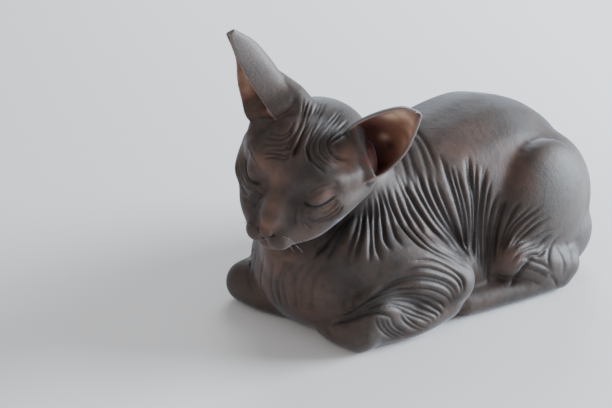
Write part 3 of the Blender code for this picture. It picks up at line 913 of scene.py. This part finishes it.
def seen_line(look, points):
    """The stretches of skin that a way of looking finds along a line of points."""
    found, stretch = [], []
    for point in points:
        place = look(point)
        if stretch and (place is None or (place - stretch[-1]).length > LONGEST_STEP):
            found.append(stretch)
            stretch = []
        if place is not None:
            stretch.append(place)
    found.append(stretch)
    long_enough = [s for s in found if len(s) >= FEWEST_PLACES]
    return [s for s in long_enough if (s[-1] - s[0]).length > SHORTEST_STRETCH]


def mirror_image(surface, line, in_head):
    """The mirror image of a line's places on the other side of the cat, laid on its skin."""
    frame = head_matrix() if in_head else Matrix.Identity(4)
    flip = frame @ Matrix.Diagonal((-1, 1, 1, 1)) @ frame.inverted()
    found = []
    for place in line:
        near = surface.tree.find_nearest(flip @ place, MIRROR_REACH)[0]
        if near is not None:
            found.append(near)
    return found


def press_family(surface, family, dice, both_sides=False, in_head=False, look=None, ends=FOLD_ENDS):
    """Valleys spread between the guide lines of a family, each a little different."""
    guides, count, width, depth = family
    lines = [[Vector((*p, 0)) for p in guide] for guide in guides]
    for i in range(count):
        share = (i + dice.uniform(*STRAY)) / (count - 1)
        share = min(max(share, 0), 1)
        first, last = dice.uniform(*STARTS), dice.uniform(*STOPS)
        sway, phase = dice.uniform(*SWAYS), dice.uniform(*PHASES)
        pixels = []
        for t in range(FOLD_STEPS + 1):
            along = first + (last - first) * t / FOLD_STEPS
            place = along_line([along_line(guide, along) for guide in lines], share)
            shift = sway * math.sin(phase + SWAY_ANGLE * along)
            pixels.append((place.x + shift, place.y + shift * SWAY_RISE))
        deep = depth * MM * dice.uniform(*DEPTHS)
        wide = width * MM * dice.uniform(*WIDTHS)
        for stretch in seen_line(look or surface.seen, pixels):
            press_line(surface, smooth_line(stretch), wide, deep, ends)
            if both_sides:
                other = mirror_image(surface, stretch, in_head)
                if len(other) >= FEWEST_PLACES:
                    other_deep = deep * dice.uniform(*OTHER_DEPTHS)
                    press_line(surface, smooth_line(other), wide, other_deep, ends)


def press_single(surface, pixels, width, depth):
    """One valley along a line of pixels, and its mirror image."""
    guide = [Vector((*p, 0)) for p in pixels]
    fine = [along_line(guide, t / SINGLE_STEPS) for t in range(SINGLE_STEPS + 1)]
    for stretch in seen_line(surface.seen, [(p.x, p.y) for p in fine]):
        press_line(surface, smooth_line(stretch), width * MM, depth * MM, SINGLE_ENDS)
        other = mirror_image(surface, stretch, False)
        if len(other) >= FEWEST_PLACES:
            press_line(surface, smooth_line(other), width * MM, depth * MM, SINGLE_ENDS)


def press_folds(surface):
    """Every fold. A family that is named with a number fades over that share at each end."""
    dice = random.Random(7)
    body = ((SHOULDER, 0.28), (FLANK, 0.18), (THIGH_FAN, 0.25), (ELBOW, 0.24), (WRIST, 0.3))
    for family, ends in body:
        press_family(surface, family, dice, both_sides=True, ends=ends)
    press_family(surface, CHEST, dice)
    for family in (NAPE, RUMP):
        press_family(surface, family, dice, look=surface.below)
    for pixels, width, depth in SINGLE_FOLDS:
        press_single(surface, pixels, width, depth)
    for family in (BROW_LEFT, BROW_RIGHT, RIGHT_CHEEK):
        press_family(surface, family, dice)
    for family in (LOWER_LID, LID_SIDE, UPPER_LID):
        press_family(surface, family, dice, both_sides=True, in_head=True)


def keep_attribute(mesh, name, values):
    """Stores one number from 0 to 1 for each vertex, for the material."""
    stored = mesh.attributes.new(name, "FLOAT", "POINT")
    stored.data.foreach_set("value", np.clip(values, 0, 1).astype(np.float32))


def press_face_lines(surface):
    """The closed lids, the mouth line, the cleft under the nose and the nostrils."""
    frame = head_matrix()
    before = surface.press.copy()
    lines = [MIDDLE_LINE]
    for side in (1, -1):
        for line, width, depth in SIDE_LINES:
            lines.append(([(side * x, y, z) for x, y, z in line], width, depth))
    for points, width, depth in lines:
        laid = [surface.tree.find_nearest(frame @ (Vector(p) * MM))[0] for p in points]
        press_line(surface, smooth_line(laid, FACE_LINE_STEP), width * MM, depth * MM)
    # How deep each face line is pressed, kept for the painted shade in it
    keep_attribute(surface.mesh, "line", (before - surface.press) / MM)


def add_patches(surface):
    """Marks the rosy and the dark patches of skin, and inside the ears the dark patches and the painted glow,
    on both sides.
    """
    groups = (
        ("warm", WARM_PATCHES),
        ("dusk", DARK_PATCHES),
        ("ear_dark", EAR_DARK_PATCHES),
        ("ear_glow", EAR_GLOW_PATCHES),
    )
    for name, patches in groups:
        shade = np.zeros(len(surface.places))
        for pixel, wide, strength in patches:
            seen = surface.seen(pixel)
            if seen is None:
                continue
            for place in (seen, *mirror_image(surface, [seen], name.startswith("ear"))):
                gap = ((surface.places - np.array(place)) ** 2).sum(1) / (wide * MM) ** 2
                shade = np.maximum(shade, strength * np.exp(-gap))
        keep_attribute(surface.mesh, name, shade)


def add_rims(surface):
    """Marks the thin rims of the ears, where a bright rim of light is painted."""
    rim = np.zeros(len(surface.places))
    frame = head_matrix()
    for side, (inner, outer, back, _) in ((1, EAR_LEFT), (-1, EAR_RIGHT)):
        rows = ear_rows(side, inner, outer, back)[RIM_FIRST_ROW:]
        edge = [row[0] for row in rows] + [row[-1] for row in rows[::-1]]
        line = smooth_line([frame @ place for place in edge])
        ids = surface.near(line, RIM_REACH)
        gap = np.full(len(ids), np.inf)
        for place in line:
            gap = np.minimum(gap, ((surface.places[ids] - place) ** 2).sum(1))
        rim[ids] = np.exp(-gap / RIM_WIDTH**2)
    keep_attribute(surface.mesh, "rim", rim)


class EarCup:
    """The cup of an ear: its sheet, the middle between its edges in each row, and its floor."""

    def __init__(self, side, inner, outer, back, _):
        frame = head_matrix()
        rows = [[frame @ p for p in row] for row in ear_rows(side, inner, outer, back)]
        shape, _ = sheet_of(rows)
        self.tree = BVHTree.FromBMesh(shape)
        shape.free()
        self.centres = [(row[0] + row[-1]) / 2 for row in rows]
        floor = rows[int(EAR_ROWS * EAR_FLOOR)]
        self.base = (floor[0] + floor[-1]) / 4 + floor[EAR_COLUMNS // 2] / 2
        self.upward = (self.centres[-1] - self.base).normalized()

    def row_and_share(self, place, normal):
        """The row beside a place, and how strongly the place has the inside's colour."""
        sheet, _, index, gap = self.tree.find_nearest(place)
        row = index // (EAR_COLUMNS - 1)
        inward = self.centres[row] - sheet
        deep = (place - sheet).dot(inward.normalized())
        on_sheet = gap < EAR_LINING and deep > 0
        near_floor = 0 < deep < inward.length and (place - self.base).length < EAR_FLOOR_RADIUS
        if not on_sheet and not (near_floor and normal.dot(self.upward) > EAR_FLOOR_FACING):
            return row, 0
        from_root = min(1, max(0, row / EAR_ROOT_ROWS - 1))
        from_tip = min(1, (EAR_ROWS - 2 - row) / EAR_TIP_ROWS)
        return row, min(1, deep / EAR_FADE) * (from_root * from_tip)


def add_ear_insides(surface):
    """Marks the inside of each ear, and how far towards the tip each place lies."""
    inside = np.zeros(len(surface.places))
    towards_tip = inside.copy()
    for cup in (EarCup(1, *EAR_LEFT), EarCup(-1, *EAR_RIGHT)):
        middle = np.array(cup.centres[EAR_ROWS // 2])
        close = np.linalg.norm(surface.places - middle, axis=1) < EAR_SPAN
        for n in np.flatnonzero(close):
            row, share = cup.row_and_share(Vector(surface.places[n]), Vector(surface.normals[n]))
            inside[n] = max(inside[n], share)
            towards_tip[n] = row / EAR_ROWS
    keep_attribute(surface.mesh, "ear", inside)
    # How far towards the tip, which sets the painted highlight on the ear backs and the painted glow inside
    keep_attribute(surface.mesh, "tip", towards_tip)


class Shading:
    """The nodes of a material, with short ways to add one and link it."""

    def __init__(self, material):
        material.use_nodes = True
        self.nodes = material.node_tree.nodes
        self.links = material.node_tree.links
        self.shader = self.nodes["Principled BSDF"]

    def read(self, name):
        """A number that the mesh keeps for each vertex."""
        node = self.nodes.new("ShaderNodeAttribute")
        node.attribute_type = "GEOMETRY"
        node.attribute_name = name
        return node.outputs["Fac"]

    def spread(self, value, low, high, top=1.0):
        """The value stretched so that it is 0 at low and top at high."""
        node = self.nodes.new("ShaderNodeMapRange")
        node.inputs["From Min"].default_value = low
        node.inputs["From Max"].default_value = high
        node.inputs["To Max"].default_value = top
        self.links.new(value, node.inputs["Value"])
        return node.outputs["Result"]

    def noise(self, scale, detail, low, high):
        """Noise stretched so that it is 0 at low and 1 at high."""
        where = self.nodes.new("ShaderNodeTexCoord")
        node = self.nodes.new("ShaderNodeTexNoise")
        node.inputs["Scale"].default_value = scale
        node.inputs["Detail"].default_value = detail
        self.links.new(where.outputs["Object"], node.inputs["Vector"])
        return self.spread(node.outputs["Fac"], low, high)

    def mixed(self, share, first, second):
        """The first colour, with this share of the second."""
        node = self.nodes.new("ShaderNodeMix")
        node.data_type = "RGBA"
        self.links.new(share, node.inputs[0])
        for socket, colour in ((node.inputs[6], first), (node.inputs[7], second)):
            if isinstance(colour, tuple):
                socket.default_value = (*colour, 1)
            else:
                self.links.new(colour, socket)
        return node.outputs[2]

    def times(self, first, second):
        node = self.nodes.new("ShaderNodeMath")
        node.operation = "MULTIPLY"
        self.links.new(first, node.inputs[0])
        self.links.new(second, node.inputs[1])
        return node.outputs[0]

    def bump(self, height, strength, distance, normal=None):
        """Relief on top of another. Its distance is in millimetres."""
        node = self.nodes.new("ShaderNodeBump")
        node.inputs["Strength"].default_value = strength
        node.inputs["Distance"].default_value = distance * MM
        self.links.new(height, node.inputs["Height"])
        if normal:
            self.links.new(normal, node.inputs["Normal"])
        return node.outputs["Normal"]


def skin_colour(shading):
    """Mottled grey-brown, with painted shade in its folds and face lines, rosy in places, painted highlights
    on the ear backs and rims, and red inside the ears with a painted glow of light through them.
    """
    read, noise, spread = shading.read, shading.noise, shading.spread
    mixed, times = shading.mixed, shading.times
    colour = mixed(noise(28, 4, 0.35, 0.65), SLATE, TAUPE)
    colour = mixed(noise(85, 4, 0.5, 0.72), colour, SLATE)
    colour = mixed(noise(190, 5, 0.5, 0.8), colour, MOTTLE)
    colour = mixed(times(read("warm"), noise(90, 3, 0.2, 0.7)), colour, ROSY)
    colour = mixed(times(read("dusk"), noise(120, 3, 0.1, 0.6)), colour, DUSK)
    # Painted shade in the valleys of the folds, darker where a fold is pressed deeper
    colour = mixed(spread(read("fold"), 0.1, 1.6, 0.8), colour, FOLD_SHADE)
    # Painted highlight on the backs of the ears, paler towards the tips
    colour = mixed(spread(read("tip"), 0.2, 0.9, 0.75), colour, EAR_BACK_HIGHLIGHT)
    # Inside the ears: skin colour with a painted glow of light through the ear, stronger towards the tip and
    # in the pale patches
    inside = mixed(spread(read("tip"), 0.3, 0.75), EAR_DEEP, EAR_AMBER_AND_GLOW)
    inside = mixed(times(read("ear_glow"), noise(130, 3, 0.05, 0.5)), inside, EAR_PALE_GLOW)
    inside = mixed(times(read("ear_dark"), noise(160, 3, 0.1, 0.5)), inside, EAR_DARK)
    colour = mixed(read("ear"), colour, inside)
    # Painted rim of light along the edges of the ears
    colour = mixed(spread(read("rim"), 0.3, 0.9, 0.7), colour, RIM_LIGHT)
    # Painted shade in the eye slits, the mouth line, the cleft under the nose and the nostrils
    return mixed(spread(read("line"), 0.12, 0.6, 0.93), colour, FACE_LINE_SHADE)


def skin_relief(shading):
    """The finest creases and the grain of the peach fuzz."""
    grain = shading.bump(shading.noise(900, 5, 0.2, 0.8), 0.2, 0.35)
    return shading.bump(shading.noise(260, 4, 0.3, 0.7), 0.15, 0.6, grain)


def skin_material():
    """Bare skin with a faint sheen of peach fuzz."""
    material = bpy.data.materials.new("skin")
    shading = Shading(material)
    shading.links.new(skin_colour(shading), shading.shader.inputs["Base Color"])
    shading.links.new(skin_relief(shading), shading.shader.inputs["Normal"])
    for name, value in SKIN_FINISH.items():
        shading.shader.inputs[name].default_value = value
    return material


def plain_material(name, colour, roughness):
    material = bpy.data.materials.new(name)
    shader = Shading(material).shader
    shader.inputs["Base Color"].default_value = (*colour, 1)
    shader.inputs["Roughness"].default_value = roughness
    return material


def add_strand(shape, points, radius, sides=5):
    """A thin tapering hair through the points."""
    rings = []
    for n, place in enumerate(points):
        ahead = points[min(n + 1, len(points) - 1)] - points[max(n - 1, 0)]
        turn = ahead.to_track_quat("Z", "Y")
        size = radius * (1 - WHISKER_TAPER * n / (len(points) - 1))
        angles = [2 * math.pi * k / sides for k in range(sides)]
        ring = [place + turn @ Vector((size * math.cos(a), size * math.sin(a), 0)) for a in angles]
        rings.append([shape.verts.new(corner) for corner in ring])
    for lower, upper in zip(rings, rings[1:]):
        for k in range(sides):
            m = (k + 1) % sides
            shape.faces.new((lower[k], lower[m], upper[m], upper[k]))
    shape.faces.new(rings[0][::-1])
    shape.faces.new(rings[-1])


def add_whiskers(surface, collection):
    """The few short, bent whiskers that a sphynx has."""
    dice = random.Random(3)
    shape = bmesh.new()
    frame = head_matrix()
    for side in (1, -1):
        for _ in range(WHISKER_COUNT):
            root = Vector((side * dice.uniform(7, 13), dice.uniform(-49, -43), dice.uniform(-24, -18)))
            root = surface.tree.find_nearest(frame @ (root * MM))[0]
            way = Vector((side * dice.uniform(0.7, 1), dice.uniform(-0.25, 0.35), dice.uniform(-0.5, 0.2)))
            way = frame.to_3x3() @ way.normalized()
            length, droop = dice.uniform(4, 8) * MM, dice.uniform(0.1, 0.4)
            points = []
            for k in range(WHISKER_PLACES):
                t = k / (WHISKER_PLACES - 1)
                down = Vector((0, 0, -droop * length * t * t))
                points.append(root + way * (length * t - WHISKER_SINK) + down)
            add_strand(shape, points, WHISKER_RADIUS)
    whiskers = object_of("whiskers", mesh_of(shape, "whiskers"), collection)
    whiskers.data.materials.append(plain_material("whisker", (0.3, 0.28, 0.26), 0.4))
    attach(whiskers, "root")


def add_floor():
    bpy.ops.mesh.primitive_plane_add(size=FLOOR_SIZE)
    floor = bpy.context.object
    floor.name = "floor"
    floor.data.materials.append(plain_material("floor", (0.92, 0.90, 0.89), 0.9))


def add_light(name, place, aim, size, power, colour):
    data = bpy.data.lights.new(name, "AREA")
    data.size = size
    data.energy = power
    data.color = colour
    light = bpy.data.objects.new(name, data)
    bpy.context.scene.collection.objects.link(light)
    light.location = place
    way = Vector(place) - Vector(aim)
    light.rotation_euler = way.to_track_quat("Z", "Y").to_euler()


def add_lights():
    world = bpy.data.worlds.new("studio")
    bpy.context.scene.world = world
    world.use_nodes = True
    background = world.node_tree.nodes["Background"]
    background.inputs["Color"].default_value = (*WORLD_COLOUR, 1)
    background.inputs["Strength"].default_value = WORLD_STRENGTH
    for light in LIGHTS:
        add_light(*light)


def main():
    """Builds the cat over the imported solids, whose box it returns."""
    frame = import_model()
    solids_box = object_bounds()
    work = new_collection("cat_skin")
    skin = skin_base(work)
    surface = Surface(skin)
    press_folds(surface)
    press_face_lines(surface)
    add_patches(surface)
    add_ear_insides(surface)
    add_rims(surface)
    surface.moved()
    add_whiskers(surface, work)
    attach(skin, "root")
    flesh = [name for name in frame["nodes"] if not name.startswith("eye")]
    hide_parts(*flesh)
    skin.data.materials.append(skin_material())
    for face in skin.data.polygons:
        face.use_smooth = True
    add_floor()
    add_lights()
    add_camera()
    return solids_box


main()
